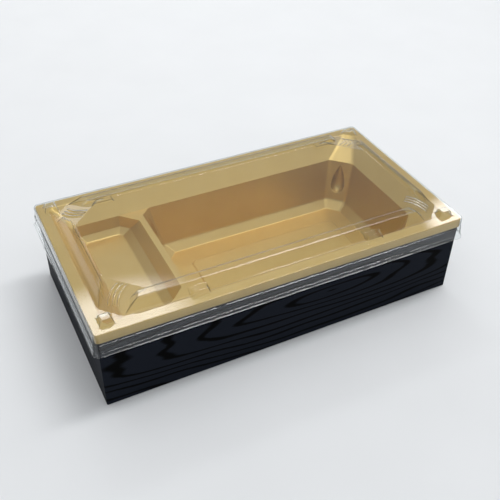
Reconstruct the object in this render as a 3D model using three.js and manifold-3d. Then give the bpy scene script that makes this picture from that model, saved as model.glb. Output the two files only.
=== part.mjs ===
// A disposable food box: a board box faced with wood-grain film, a moulded tray hung in it by its rim,
// and a clear moulded lid that drops over the rim.
// Millimetres, +Z up. The origin is the centre of the box's underside, +X runs along its length and -Y is its front.

import * as THREE from "three";
import { mergeVertices } from "three/addons/utils/BufferGeometryUtils.js";
import Module from "manifold-3d";

const wasm = await Module();
wasm.setup();

// Board box, outside sizes over the film
const BOX_LENGTH = 257;
const BOX_WIDTH = 135.8;
const BOX_HEIGHT = 60.4;
const BOARD = 3;
const FILM = 0.4;
const FILM_CORNER = 0.8;
const GLUE_LINE = 0.2;
// The film stops short of the edge that the box stands on
const FILM_TRIM = 0.5;

// Inner tray: its rim lies on the walls and its skirt hangs outside them
const TRAY_SHEET = 0.6;
const TRAY_SEAT_GAP = 0.3;
const TRAY_SKIRT_CLEARANCE = 0.4;
const TRAY_SKIRT_DROP = 6.4;
const RIM_CORNER = 2;
const RIM_FLAT = 7.2;

// Sloping band between the rim and the two compartments, with its corners cut wide at the main one
const BAND_DEPTH = 12.1;
const BAND_RUN = 11.9;
const MOUTH_CUT = 5.6;
const BAND_CUT = 12.8;
// Small cut at the side compartment's outer corners, the same at every depth
const OUTER_CUT = 2.5;

// Compartments
const WALL_DRAFT = THREE.MathUtils.degToRad(13.7);
const FLOOR_CLEARANCE = 9.7;
const MAIN_BEVEL_RISE = 5.5;
const MAIN_BEVEL_RUN = 6;
const MAIN_WALL_CUT = 11;
const MAIN_FLOOR_CUT = 8;
const MAIN_DIVIDER_CUT = 6.5;
const SIDE_LENGTH = 45.1;
const SIDE_DEPTH = 24;
const SIDE_BEVEL_RISE = 4;
const SIDE_BEVEL_RUN = 3.8;
const SIDE_WALL_CUT = 5.5;
const SIDE_FLOOR_CUT = 2.2;
const SIDE_DIVIDER_CUT = 11.5;
const DIVIDER_TOP = 4.3;
const DIVIDER_SIDE_DRAFT = THREE.MathUtils.degToRad(38.1);
const DIVIDER_SIDE_BEVEL_RUN = 5.8;

// Low plateau on the main floor
const PLATEAU_RISE = 0.8;
const PLATEAU_END_MARGIN = 12.5;
const PLATEAU_SIDE_MARGIN = 15;
const PLATEAU_CUT = 3;

// Drop-shaped stacking dents in the main compartment's corners
const DENT_TOP = 14.5;
const DENT_LENGTH = 22;
const DENT_RADIUS = 5.4;
// How full the drop is at its foot and below its tip, against its radius
const DENT_FOOT_FULLNESS = 1.5;
const DENT_TIP_FULLNESS = 1.2;
const DENT_STEPS = 8;
const DENT_SEGMENTS = 16;

// Lid: its flange lies on the tray's rim and its skirt hangs outside the tray's skirt
const LID_SHEET = 0.4;
const LID_SEAT_GAP = 0.3;
const LID_SIDE_CLEARANCE = 0.5;
const LID_SKIRT_DROP = 14.8;
const LID_SKIRT_FLARE = 1;
const LIP_RISE = 3;
const LIP_FLARE = 1.3;
const CORNER_STEPS = 5;

// Lid dome: a ridge round a lower panel, narrower across the two short ends
const DOME_FOOT = 8.5;
const DOME_RISE = 7.3;
const DOME_RUN = 5;
const DOME_CUT = 12;
const RIDGE_TOP = 3;
const PANEL_DROP = 1.7;
const PANEL_RUN = 6.4;
const END_RIDGE_TOP = 1.6;
const END_PANEL_RUN = 2.4;

// Fluted ramps at the dome's corners
const RAMP_SETBACK = 6.5;
const RAMP_RUN = 17;
const RAMP_WIDTH = 14;
const FLUTE_COUNT = 3;
const FLUTE_PITCH = 3.4;
const FLUTE_RADIUS = 1.1;
// Each flute runs straight down its ramp and sweeps aside at the foot
const FLUTE_SWEEP = 5;
const FLUTE_END_GAP = 1.5;
const FLUTE_SIDES = 8;
const FLUTE_STEPS = 6;

// Hollow bosses on the flange's corners, lugs on its front side, and low pads at the panel's rear edge
const BOSS_RISE = 4.5;
const BOSS_LENGTH = 9;
const BOSS_WIDTH = 11.5;
const BOSS_INSET = 5.2;
const BOSS_TAPER = 1.2;
const BOSS_CORNER = 2.5;
const LUG_RISE = 4.5;
const LUG_INSET = 4.5;
const LUG_REACH = 8;
const LUG_LENGTH = 12;
const LUG_OFFSET = 62;
const PAD_RISE = 1.2;
const PAD_REACH = 2;
const PAD_LENGTH = 18;
const PAD_OFFSET = 88;

// Cutting solids run past the faces they open
const OVERCUT = 1;
// Corners closer than this are one corner
const WELD = 0.001;

// Heights and outlines that follow from the sizes above
const RIM_LENGTH = BOX_LENGTH + 2 * (TRAY_SKIRT_CLEARANCE + TRAY_SHEET);
const RIM_WIDTH = BOX_WIDTH + 2 * (TRAY_SKIRT_CLEARANCE + TRAY_SHEET);
const RIM_TOP = BOX_HEIGHT + TRAY_SEAT_GAP + TRAY_SHEET;
const BAND_FOOT = RIM_TOP - BAND_DEPTH;
const BAND_INSET = RIM_FLAT + BAND_RUN;
const MAIN_FLOOR = BOARD + FLOOR_CLEARANCE + TRAY_SHEET;
const MAIN_BEVEL_TOP = MAIN_FLOOR + MAIN_BEVEL_RISE;
const SIDE_FLOOR = RIM_TOP - SIDE_DEPTH;
const SIDE_BEVEL_TOP = SIDE_FLOOR + SIDE_BEVEL_RISE;
const DIVIDER_WEST = -RIM_LENGTH / 2 + BAND_INSET + SIDE_LENGTH;
const DIVIDER_EAST = DIVIDER_WEST + DIVIDER_TOP;
const FLANGE_TOP = RIM_TOP + LID_SEAT_GAP + LID_SHEET;
const FLANGE_OUT = LID_SIDE_CLEARANCE + LID_SHEET;
const SKIRT_FOOT = RIM_TOP - LID_SKIRT_DROP;
const PANEL_TOP = RIM_TOP + DOME_RISE - PANEL_DROP;

const CORNERS = [
  [1, 1],
  [-1, 1],
  [-1, -1],
  [1, -1],
];

// A rectangle in plan, centred on the origin and set in from the tray's rim
function rimRectangle(inset, endInset = inset) {
  const east = RIM_LENGTH / 2 - endInset;
  const north = RIM_WIDTH / 2 - inset;
  return { west: -east, east, south: -north, north };
}

// A rectangle in plan, centred on the origin
function centred(length, width) {
  return { west: -length / 2, east: length / 2, south: -width / 2, north: width / 2 };
}

// The same rectangle, moved out by a distance on every side
function grown({ west, east, south, north }, by) {
  return { west: west - by, east: east + by, south: south - by, north: north + by };
}

// A cut corner's leg when its outline, cut and all, moves out by a distance
function grownCut(cut, by) {
  return cut + by * (2 - Math.SQRT2);
}

// Plan of a rectangle, counter-clockwise, with each corner cut flat in one step or rounded in several
function outline({ west, east, south, north }, cutWest, cutEast, steps = 1) {
  const corners = [
    [east - cutEast, north - cutEast, cutEast],
    [west + cutWest, north - cutWest, cutWest],
    [west + cutWest, south + cutWest, cutWest],
    [east - cutEast, south + cutEast, cutEast],
  ];
  return corners.flatMap(([x, y, cut], quarter) =>
    Array.from({ length: steps + 1 }, (_, step) => {
      const angle = ((quarter + step / steps) * Math.PI) / 2;
      return new THREE.Vector2(x + cut * Math.cos(angle), y + cut * Math.sin(angle));
    }),
  );
}

// One level of a loft: a plan at a height
function level(z, rectangle, cutWest, cutEast = cutWest, steps = 1) {
  return { z, points: outline(rectangle, cutWest, cutEast, steps) };
}

// Closed solid through convex plans of equal point count, given from the lowest up
function loft(levels) {
  const count = levels[0].points.length;
  const positions = levels.flatMap(({ z, points }) => points.flatMap(({ x, y }) => [x, y, z]));
  const faces = [];
  for (let row = 0; row < levels.length - 1; row += 1) {
    for (let point = 0; point < count; point += 1) {
      const here = row * count + point;
      const next = row * count + ((point + 1) % count);
      faces.push(here, next, next + count, here, next + count, here + count);
    }
  }
  const top = (levels.length - 1) * count;
  for (let point = 1; point < count - 1; point += 1) {
    faces.push(0, point + 1, point, top, top + point, top + point + 1);
  }
  const geometry = new THREE.BufferGeometry();
  geometry.setAttribute("position", new THREE.Float32BufferAttribute(positions, 3));
  geometry.setIndex(faces);
  return solid(geometry);
}

// A geometry as a solid that can be joined and cut
function solid(geometry) {
  const bare = geometry.clone();
  bare.deleteAttribute("normal");
  bare.deleteAttribute("uv");
  const merged = mergeVertices(bare);
  return new wasm.Manifold(
    new wasm.Mesh({
      numProp: 3,
      vertProperties: merged.getAttribute("position").array,
      triVerts: Uint32Array.from(merged.index.array),
    }),
  );
}

function joined(solids) {
  return solids.reduce((whole, next) => whole.add(next));
}

function cutBy(whole, solids) {
  return solids.reduce((rest, next) => rest.subtract(next), whole);
}

// A closed surface whose corners are welded where they coincide, without the faces that vanish there
function welded(geometry) {
  const merged = mergeVertices(geometry, WELD);
  const corners = merged.index.array;
  const faces = [];
  for (let start = 0; start < corners.length; start += 3) {
    const [a, b, c] = corners.slice(start, start + 3);
    if (a !== b && b !== c && c !== a) faces.push(a, b, c);
  }
  merged.setIndex(faces);
  return merged;
}

// A named mesh of one solid
function piece(name, shape, material) {
  const { vertProperties, triVerts } = shape.getMesh();
  const surface = new THREE.BufferGeometry();
  surface.setAttribute("position", new THREE.BufferAttribute(vertProperties, 3));
  surface.setIndex(new THREE.BufferAttribute(triVerts, 1));
  const geometry = welded(surface);
  geometry.computeVertexNormals();
  const mesh = new THREE.Mesh(geometry, material);
  mesh.name = name;
  return mesh;
}

// Board box

// Wall boards, mitred where they meet at the corners, with a glue line in each mitre
function wallBoards() {
  const outside = grown(centred(BOX_LENGTH, BOX_WIDTH), -(FILM + GLUE_LINE));
  const inside = grown(outside, -BOARD);
  const gap = GLUE_LINE / 2;
  const board = (...corners) => {
    const plan = new THREE.Shape(corners.map(([x, y]) => new THREE.Vector2(x, y)));
    return solid(new THREE.ExtrudeGeometry(plan, { depth: BOX_HEIGHT, bevelEnabled: false }));
  };
  const long = (outer, inner) =>
    board(
      [outside.west + gap, outer],
      [outside.east - gap, outer],
      [inside.east - gap, inner],
      [inside.west + gap, inner],
    );
  const short = (outer, inner) =>
    board(
      [outer, outside.south + gap],
      [outer, outside.north - gap],
      [inner, inside.north - gap],
      [inner, inside.south + gap],
    );
  return {
    front_wall: long(outside.south, inside.south),
    rear_wall: long(outside.north, inside.north),
    left_wall: short(outside.west, inside.west),
    right_wall: short(outside.east, inside.east),
  };
}

// Base board, glued inside the foot of the walls
function baseBoard() {
  const wall = FILM + GLUE_LINE + BOARD + GLUE_LINE;
  const base = new THREE.BoxGeometry(BOX_LENGTH - 2 * wall, BOX_WIDTH - 2 * wall, BOARD);
  base.translate(0, 0, BOARD / 2);
  return solid(base);
}

// Printed film, wrapped once round the four walls, with a small bend at each corner
function grainFacing() {
  const sleeve = (foot, top, rectangle, corner) =>
    loft([foot, top].map((z) => level(z, rectangle, corner, corner, CORNER_STEPS)));
  const outside = centred(BOX_LENGTH, BOX_WIDTH);
  return sleeve(FILM_TRIM, BOX_HEIGHT, outside, FILM_CORNER).subtract(
    sleeve(FILM_TRIM - OVERCUT, BOX_HEIGHT + OVERCUT, grown(outside, -FILM), FILM_CORNER - FILM),
  );
}

// Inner tray

// Main compartment's plan at a height, by the draft of its walls
function mainPlan(z) {
  const run = (BAND_FOOT - Math.max(z, MAIN_BEVEL_TOP)) * Math.tan(WALL_DRAFT);
  const bevel = z < MAIN_BEVEL_TOP ? MAIN_BEVEL_RUN : 0;
  const sides = rimRectangle(BAND_INSET + run + bevel);
  return { ...sides, west: DIVIDER_EAST + run + bevel };
}

// Side compartment's plan at a height: its divider side leans more than its other sides
function sidePlan(z) {
  const drop = BAND_FOOT - Math.max(z, SIDE_BEVEL_TOP);
  const bevelled = z < SIDE_BEVEL_TOP;
  const sides = rimRectangle(BAND_INSET + drop * Math.tan(WALL_DRAFT) + (bevelled ? SIDE_BEVEL_RUN : 0));
  const east = DIVIDER_WEST - drop * Math.tan(DIVIDER_SIDE_DRAFT) - (bevelled ? DIVIDER_SIDE_BEVEL_RUN : 0);
  return { ...sides, east };
}

// The space over both compartments, or its outside when grown by the sheet
function trayMouth(grow) {
  const mouth = grown(rimRectangle(RIM_FLAT), grow);
  const foot = grown(rimRectangle(BAND_INSET), grow);
  const outerCut = grownCut(OUTER_CUT, grow);
  const mouthCut = grownCut(MOUTH_CUT, grow);
  const top = grow ? [] : [level(RIM_TOP + OVERCUT, mouth, outerCut, mouthCut)];
  return loft([
    level(BAND_FOOT - grow, foot, outerCut, grownCut(BAND_CUT, grow)),
    level(RIM_TOP, mouth, outerCut, mouthCut),
    ...top,
  ]);
}

function mainCompartment(grow) {
  const at = (z, cutEast, lift = 0) =>
    level(
      z - grow + lift,
      grown(mainPlan(z), grow),
      grownCut(MAIN_DIVIDER_CUT, grow),
      grownCut(cutEast, grow),
    );
  return loft([
    at(MAIN_FLOOR, MAIN_FLOOR_CUT),
    at(MAIN_BEVEL_TOP, MAIN_WALL_CUT),
    at(BAND_FOOT, BAND_CUT),
    at(BAND_FOOT, BAND_CUT, OVERCUT),
  ]);
}

function sideCompartment(grow) {
  const at = (z, cutEast, lift = 0) =>
    level(z - grow + lift, grown(sidePlan(z), grow), grownCut(OUTER_CUT, grow), grownCut(cutEast, grow));
  return loft([
    at(SIDE_FLOOR, SIDE_FLOOR_CUT),
    at(SIDE_BEVEL_TOP, SIDE_WALL_CUT),
    at(BAND_FOOT, SIDE_DIVIDER_CUT),
    at(BAND_FOOT, SIDE_DIVIDER_CUT, OVERCUT),
  ]);
}

// Plateau on the main floor, or the hollow under it when grown by less than nothing
function floorPlateau(grow) {
  const { west, east, south, north } = mainPlan(MAIN_FLOOR);
  const plan = {
    west: west + PLATEAU_END_MARGIN,
    east: east - PLATEAU_END_MARGIN,
    south: south + PLATEAU_SIDE_MARGIN,
    north: north - PLATEAU_SIDE_MARGIN,
  };
  const top = grown(plan, grow - PLATEAU_RISE);
  const foot = grown(plan, grow);
  return loft([
    level(MAIN_FLOOR + grow - OVERCUT, foot, PLATEAU_CUT),
    level(MAIN_FLOOR + grow, foot, PLATEAU_CUT),
    level(MAIN_FLOOR + grow + PLATEAU_RISE, top, PLATEAU_CUT),
  ]);
}

// Middle of a main-compartment corner's flat, at a height between the band and the bevel
function cornerFlat(z, alongX, alongY) {
  const plan = mainPlan(z);
  const share = (BAND_FOOT - z) / (BAND_FOOT - MAIN_BEVEL_TOP);
  const cut = alongX > 0 ? THREE.MathUtils.lerp(BAND_CUT, MAIN_WALL_CUT, share) : MAIN_DIVIDER_CUT;
  const x = alongX > 0 ? plan.east : plan.west;
  return new THREE.Vector3(x - (alongX * cut) / 2, alongY * (plan.north - cut / 2), z);
}

// Drop-shaped dent, round at its foot and drawn to a point at its top, lying in a corner's flat
function cornerDent(alongX, alongY, grow) {
  const tip = cornerFlat(RIM_TOP - DENT_TOP, alongX, alongY);
  const foot = cornerFlat(RIM_TOP - DENT_TOP - DENT_LENGTH, alongX, alongY);
  const length = tip.distanceTo(foot);
  const radius = DENT_RADIUS + grow;
  const side = new THREE.CubicBezierCurve(
    new THREE.Vector2(0, -grow),
    new THREE.Vector2(radius * DENT_FOOT_FULLNESS, -grow),
    new THREE.Vector2(radius * DENT_TIP_FULLNESS, length / 2),
    new THREE.Vector2(0, length + grow),
  );
  const profile = side.getPoints(DENT_STEPS);
  profile[0].x = 0;
  profile[profile.length - 1].x = 0;
  const drop = new THREE.LatheGeometry(profile, DENT_SEGMENTS, Math.PI / DENT_SEGMENTS);
  drop.applyQuaternion(
    new THREE.Quaternion().setFromUnitVectors(
      new THREE.Vector3(0, 1, 0),
      tip.clone().sub(foot).normalize(),
    ),
  );
  drop.translate(foot.x, foot.y, foot.z);
  return solid(drop);
}

function innerTray() {
  const dents = (grow) => CORNERS.map(([alongX, alongY]) => cornerDent(alongX, alongY, grow));
  const skirtFoot = RIM_TOP - TRAY_SKIRT_DROP;
  const skirtOut = rimRectangle(0);
  const skirtIn = grown(skirtOut, -TRAY_SHEET);
  const cornerIn = RIM_CORNER - TRAY_SHEET;
  const rim = loft([
    level(skirtFoot, skirtOut, RIM_CORNER, RIM_CORNER, CORNER_STEPS),
    level(RIM_TOP, skirtOut, RIM_CORNER, RIM_CORNER, CORNER_STEPS),
  ]).subtract(
    loft([
      level(skirtFoot - OVERCUT, skirtIn, cornerIn, cornerIn, CORNER_STEPS),
      level(RIM_TOP - TRAY_SHEET, skirtIn, cornerIn, cornerIn, CORNER_STEPS),
    ]),
  );
  const mainOutside = mainCompartment(TRAY_SHEET).subtract(floorPlateau(-TRAY_SHEET));
  const mainInside = mainCompartment(0).subtract(floorPlateau(0));
  const outside = joined([
    rim,
    trayMouth(TRAY_SHEET),
    mainOutside,
    sideCompartment(TRAY_SHEET),
    ...dents(TRAY_SHEET),
  ]);
  return cutBy(outside, [trayMouth(0), mainInside, sideCompartment(0), ...dents(0)]);
}

// Clear lid

// Skirt and flange as one block, or the space inside it when grown by less than nothing
function lidBlock(grow) {
  const at = (z, out) => {
    const corner = RIM_CORNER + out + grow;
    return level(z, grown(rimRectangle(0), out + grow), corner, corner, CORNER_STEPS);
  };
  const foldOut = FLANGE_OUT + LID_SKIRT_FLARE;
  const lipOut = foldOut + LIP_FLARE;
  const below = grow ? [at(SKIRT_FOOT - OVERCUT, lipOut)] : [];
  return loft([
    ...below,
    at(SKIRT_FOOT, lipOut),
    at(SKIRT_FOOT + LIP_RISE, foldOut),
    at(FLANGE_TOP + grow, FLANGE_OUT),
  ]);
}

// Dome up to the top of its ridge
function dome(grow) {
  const foot = grown(rimRectangle(DOME_FOOT), grow);
  const ridge = grown(rimRectangle(DOME_FOOT + DOME_RUN), grow);
  const cut = grownCut(DOME_CUT, grow);
  return loft([
    level(FLANGE_TOP + grow - OVERCUT, foot, cut),
    level(FLANGE_TOP + grow, foot, cut),
    level(RIM_TOP + DOME_RISE + grow, ridge, cut),
  ]);
}

// Pit inside the ridge, down to the panel
function panelPit(grow) {
  const edge = DOME_FOOT + DOME_RUN;
  const ridge = grown(rimRectangle(edge + RIDGE_TOP, edge + END_RIDGE_TOP), grow);
  const panel = grown(
    rimRectangle(edge + RIDGE_TOP + PANEL_RUN, edge + END_RIDGE_TOP + END_PANEL_RUN),
    grow,
  );
  const cut = grownCut(DOME_CUT, grow);
  return loft([
    level(PANEL_TOP - grow, panel, cut),
    level(RIM_TOP + DOME_RISE - grow, ridge, cut),
    level(RIM_TOP + DOME_RISE + OVERCUT, ridge, cut),
  ]);
}

// Frame of a corner ramp: its foot, the way out to the corner and the way across
function rampFrame(alongX, alongY) {
  const { east, north } = rimRectangle(DOME_FOOT + RAMP_SETBACK);
  const foot = new THREE.Vector3(alongX * east, alongY * north, FLANGE_TOP);
  const out = new THREE.Vector3(alongX, alongY, 0).normalize();
  const up = new THREE.Vector3(0, 0, 1);
  return { foot, out, up, across: new THREE.Vector3().crossVectors(out, up) };
}

// Wedge over a corner ramp, which cuts the ridge off there
function cornerRamp(alongX, alongY, grow) {
  const { foot, out, up, across } = rampFrame(alongX, alongY);
  const high = RIM_TOP + DOME_RISE + OVERCUT - FLANGE_TOP;
  const low = -OVERCUT - grow;
  const onSlope = (z) => new THREE.Vector2((-(z + grow) * RAMP_RUN) / (PANEL_TOP - FLANGE_TOP) - grow, z);
  const width = RAMP_WIDTH + 2 * grow;
  const reach = RAMP_SETBACK * Math.SQRT2;
  const wedge = new THREE.Shape([
    new THREE.Vector2(reach, low),
    new THREE.Vector2(reach, high),
    onSlope(high),
    onSlope(low),
  ]);
  const block = new THREE.ExtrudeGeometry(wedge, { depth: width, bevelEnabled: false });
  block.translate(0, 0, -width / 2);
  block.applyMatrix4(new THREE.Matrix4().makeBasis(out, up, across).setPosition(foot));
  return solid(block);
}

// Bent flutes that run up a corner ramp side by side, mirrored from corner to corner
function cornerFlutes(alongX, alongY) {
  const { foot, out, up, across } = rampFrame(alongX, alongY);
  const pitch = (PANEL_TOP - FLANGE_TOP) / RAMP_RUN;
  const onRamp = (back, aside) =>
    foot
      .clone()
      .addScaledVector(out, -back)
      .addScaledVector(up, back * pitch)
      .addScaledVector(across, alongX * alongY * aside);
  const turn = 2 * Math.PI;
  const section = new THREE.Shape(
    Array.from({ length: FLUTE_SIDES }, (_, side) =>
      new THREE.Vector2(FLUTE_RADIUS, 0).rotateAround(new THREE.Vector2(), ((side + 0.5) * turn) / FLUTE_SIDES),
    ),
  );
  return Array.from({ length: FLUTE_COUNT }, (_, index) => {
    const middle = (index - (FLUTE_COUNT - 1) / 2) * FLUTE_PITCH;
    const route = new THREE.QuadraticBezierCurve3(
      onRamp(FLUTE_END_GAP, middle - FLUTE_SWEEP / 2),
      onRamp(FLUTE_END_GAP + FLUTE_SWEEP, middle + FLUTE_SWEEP / 2),
      onRamp(RAMP_RUN - FLUTE_END_GAP, middle + FLUTE_SWEEP / 2),
    );
    return solid(new THREE.ExtrudeGeometry(section, { steps: FLUTE_STEPS, extrudePath: route }));
  });
}

// Tapered block on a level of the lid, hollow from below
function raisedBlock(plan, base, top, grow) {
  const foot = grown(plan, grow);
  const corner = BOSS_CORNER + grow;
  const topCorner = corner - BOSS_TAPER;
  return loft([
    level(base + grow - OVERCUT, foot, corner, corner, CORNER_STEPS),
    level(base + grow, foot, corner, corner, CORNER_STEPS),
    level(top + grow, grown(foot, -BOSS_TAPER), topCorner, topCorner, CORNER_STEPS),
  ]);
}

function cornerBoss(alongX, alongY, grow) {
  const { east, north } = rimRectangle(BOSS_INSET);
  const x = alongX * (east - BOSS_LENGTH / 2);
  const y = alongY * (north - BOSS_WIDTH / 2);
  const { west, east: right, south, north: rear } = centred(BOSS_LENGTH, BOSS_WIDTH);
  const plan = { west: x + west, east: x + right, south: y + south, north: y + rear };
  return raisedBlock(plan, FLANGE_TOP, RIM_TOP + BOSS_RISE, grow);
}

function frontLug(alongX, grow) {
  const { south } = rimRectangle(LUG_INSET);
  const middle = alongX * LUG_OFFSET;
  const half = LUG_LENGTH / 2;
  const plan = { west: middle - half, east: middle + half, south, north: south + LUG_REACH };
  return raisedBlock(plan, FLANGE_TOP, RIM_TOP + LUG_RISE, grow);
}

function rearPad(alongX, grow) {
  const { north } = rimRectangle(DOME_FOOT + DOME_RUN + RIDGE_TOP);
  const middle = alongX * PAD_OFFSET;
  const half = PAD_LENGTH / 2;
  const plan = { west: middle - half, east: middle + half, south: north - PANEL_RUN - PAD_REACH, north };
  return raisedBlock(plan, PANEL_TOP, PANEL_TOP + PAD_RISE, grow);
}

function clearLid() {
  const atCorners = (make, grow) => CORNERS.map(([alongX, alongY]) => make(alongX, alongY, grow));
  const atBothEnds = (make, grow) => [1, -1].map((alongX) => make(alongX, grow));
  const domeOutside = cutBy(dome(0), [panelPit(0), ...atCorners(cornerRamp, 0)]);
  const domeInside = cutBy(dome(-LID_SHEET), [panelPit(LID_SHEET), ...atCorners(cornerRamp, LID_SHEET)]);
  const outside = joined([
    lidBlock(0),
    domeOutside,
    ...atCorners(cornerBoss, 0),
    ...atBothEnds(frontLug, 0),
    ...atBothEnds(rearPad, 0),
    ...CORNERS.flatMap(([alongX, alongY]) => cornerFlutes(alongX, alongY)),
  ]);
  return cutBy(outside, [
    lidBlock(-LID_SHEET),
    domeInside,
    ...atCorners(cornerBoss, -LID_SHEET),
    ...atBothEnds(frontLug, -LID_SHEET),
    ...atBothEnds(rearPad, -LID_SHEET),
  ]);
}

// Materials
const foamBoard = new THREE.MeshStandardMaterial({ color: 0x1b1c1e, roughness: 0.8, metalness: 0 });
const grainFilm = new THREE.MeshStandardMaterial({ color: 0x101215, roughness: 0.42, metalness: 0 });
const goldSheet = new THREE.MeshStandardMaterial({ color: 0xb4935f, roughness: 0.3, metalness: 0.35 });
const clearSheet = new THREE.MeshStandardMaterial({
  color: 0xf2f5f7,
  roughness: 0.05,
  metalness: 0,
  transparent: true,
  opacity: 0.18,
});

const foodBox = new THREE.Group();
foodBox.name = "disposable_food_box";

const boardBox = new THREE.Group();
boardBox.add(piece("base_board", baseBoard(), foamBoard.clone()));
for (const [name, board] of Object.entries(wallBoards())) {
  boardBox.add(piece(name, board, foamBoard.clone()));
}
boardBox.add(piece("grain_facing", grainFacing(), grainFilm));
foodBox.add(boardBox);
foodBox.add(piece("inner_tray", innerTray(), goldSheet));
foodBox.add(piece("clear_lid", clearLid(), clearSheet));

export default foodBox;
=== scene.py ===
"""Looks of a disposable food box: a grain-faced board box, a moulded gold tray and a clear lid.

Meshes are shaped in millimetres and scaled to metres when they are finished. The origin is the middle of the
box's underside, +X runs along the box and -Y is its front.
"""

import logging
import math
from collections.abc import Callable, Iterable
from dataclasses import dataclass, field
from enum import Enum
from functools import partial
from typing import Any, ClassVar

import bmesh
import bpy
from bmesh.types import BMEdge, BMesh, BMFace, BMVert
from bpy.types import ID, Light, Material, Node, NodeSocket, NodeTree, Object
from mathutils import Matrix, Vector
from mathutils.geometry import interpolate_bezier


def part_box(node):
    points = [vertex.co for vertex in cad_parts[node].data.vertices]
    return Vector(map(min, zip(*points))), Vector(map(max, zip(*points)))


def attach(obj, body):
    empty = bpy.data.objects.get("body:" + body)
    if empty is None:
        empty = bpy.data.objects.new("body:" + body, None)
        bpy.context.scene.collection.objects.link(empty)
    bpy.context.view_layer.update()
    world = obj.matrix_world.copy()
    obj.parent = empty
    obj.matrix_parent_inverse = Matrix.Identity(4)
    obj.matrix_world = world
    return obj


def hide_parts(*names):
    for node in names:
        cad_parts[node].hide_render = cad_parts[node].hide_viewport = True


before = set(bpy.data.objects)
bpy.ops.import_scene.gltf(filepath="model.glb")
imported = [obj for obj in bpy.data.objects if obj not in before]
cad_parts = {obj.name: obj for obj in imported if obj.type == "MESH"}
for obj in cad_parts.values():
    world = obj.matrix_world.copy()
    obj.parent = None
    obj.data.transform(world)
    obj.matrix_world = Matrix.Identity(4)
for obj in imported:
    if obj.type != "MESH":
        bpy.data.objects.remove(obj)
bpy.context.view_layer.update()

MM = 0.001
UP = Vector((0, 0, 1))
# Ways along x and y from the middle to each corner
CORNERS = ((-1, -1), (-1, 1), (1, -1), (1, 1))
# Places of a mix node's colour sockets, which share their names with its other sockets
COLOUR_A, COLOUR_B, COLOUR_OUT = 6, 7, 2
LOG = logging.getLogger("food_box")

AddNode = Callable[..., Node]
EdgeTest = Callable[[BMEdge], bool]
Corner = tuple[int, int]


class Body(Enum):
    """The bodies that the pieces ride on."""

    BOX = "box"
    TRAY = "tray"
    LID = "lid"


class Slot(Enum):
    """The finishes that a scene may repaint."""

    FOAM_BOARD = "foam_board"
    GRAIN_FILM = "grain_film"
    GOLD_SHEET = "gold_sheet"
    CLEAR_SHEET = "clear_sheet"


# Materials


def linear(hex_colour: str) -> tuple[float, float, float, float]:
    """Turn an sRGB hex colour into linear light.

    Args:
        hex_colour: A colour such as "#C8A262".

    Returns:
        Red, green, blue and a full alpha.
    """
    channels = [int(hex_colour[start:start + 2], 16) / 255 for start in (1, 3, 5)]
    red, green, blue = (c / 12.92 if c <= 0.04045 else ((c + 0.055) / 1.055) ** 2.4 for c in channels)
    return red, green, blue, 1.0


def add_node(
    tree: NodeTree, kind: str, inputs: dict[str | int, Any] | None = None, **settings: Any
) -> Node:
    """Add a node with its settings and links.

    Args:
        tree: The node tree that gets the node.
        kind: The node's type.
        inputs: Input names or places, each with a value, or with the socket or the node that feeds it. A node
            feeds by its first output.
        settings: The node's own properties.

    Returns:
        The new node.
    """
    node = tree.nodes.new(kind)
    for name, value in settings.items():
        setattr(node, name, value)
    for name, value in (inputs or {}).items():
        source = value.outputs[0] if isinstance(value, Node) else value
        if isinstance(source, NodeSocket):
            tree.links.new(source, node.inputs[name])
        else:
            node.inputs[name].default_value = source
    return node


def empty_tree(owner: ID) -> NodeTree:
    """Give a material, a lamp or a sky an empty node tree.

    Args:
        owner: What gets the tree.

    Returns:
        The tree.
    """
    owner.use_nodes = True
    owner.node_tree.nodes.clear()
    return owner.node_tree


class Finish:
    """A material that is built once, on its first use."""

    name: str

    def material(self) -> Material:
        """Find the finish's material, or build it."""
        return bpy.data.materials.get(self.name) or self.build()

    def build(self) -> Material:
        """Build the material.

        Returns:
            The new material.
        """
        made = bpy.data.materials.new(self.name)
        add = partial(add_node, empty_tree(made))
        add("ShaderNodeOutputMaterial", {"Surface": self.surface(add)})
        return made

    def surface(self, add: AddNode) -> Node:
        """Add the surface's nodes and give the last one."""
        raise NotImplementedError


@dataclass(frozen=True)
class GoldLaminate(Finish):
    """Gold metallised film on polystyrene sheet, vacuum formed: a blurred warm mirror with orange peel."""

    name: str = "gold_laminate_sheet"
    pale: str = "#D0B172"
    deep: str = "#C3A360"
    metallic: float = 0.8
    roughness: float = 0.33
    roughness_spread: float = 0.08
    # Width of the soft clouds that the drawn sheet shows, and of its orange peel
    cloud_mm: float = 26.0
    cloud_detail: float = 3.0
    peel_mm: float = 1.1
    peel_detail: float = 2.0
    peel_depth_mm: float = 0.03
    coat: float = 0.12
    coat_roughness: float = 0.1

    def surface(self, add: AddNode) -> Node:
        """Add the laminate's nodes.

        Args:
            add: Adds a node to the material.

        Returns:
            The shader.
        """
        place = add("ShaderNodeTexCoord").outputs["Object"]
        cloud, peel = (
            add("ShaderNodeTexNoise", {"Vector": place, "Scale": 1 / (width * MM), "Detail": detail})
            for width, detail in ((self.cloud_mm, self.cloud_detail), (self.peel_mm, self.peel_detail))
        )
        colours = {"Factor": cloud, COLOUR_A: linear(self.pale), COLOUR_B: linear(self.deep)}
        smooth, rough = (self.roughness + side * self.roughness_spread / 2 for side in (-1, 1))
        return add(
            "ShaderNodeBsdfPrincipled",
            {
                "Base Color": add("ShaderNodeMix", colours, data_type="RGBA").outputs[COLOUR_OUT],
                "Metallic": self.metallic,
                "Roughness": add("ShaderNodeMapRange", {"Value": cloud, "To Min": smooth, "To Max": rough}),
                "Normal": add("ShaderNodeBump", {"Distance": self.peel_depth_mm * MM, "Height": peel}),
                "Coat Weight": self.coat,
                "Coat Roughness": self.coat_roughness,
            },
        )


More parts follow.
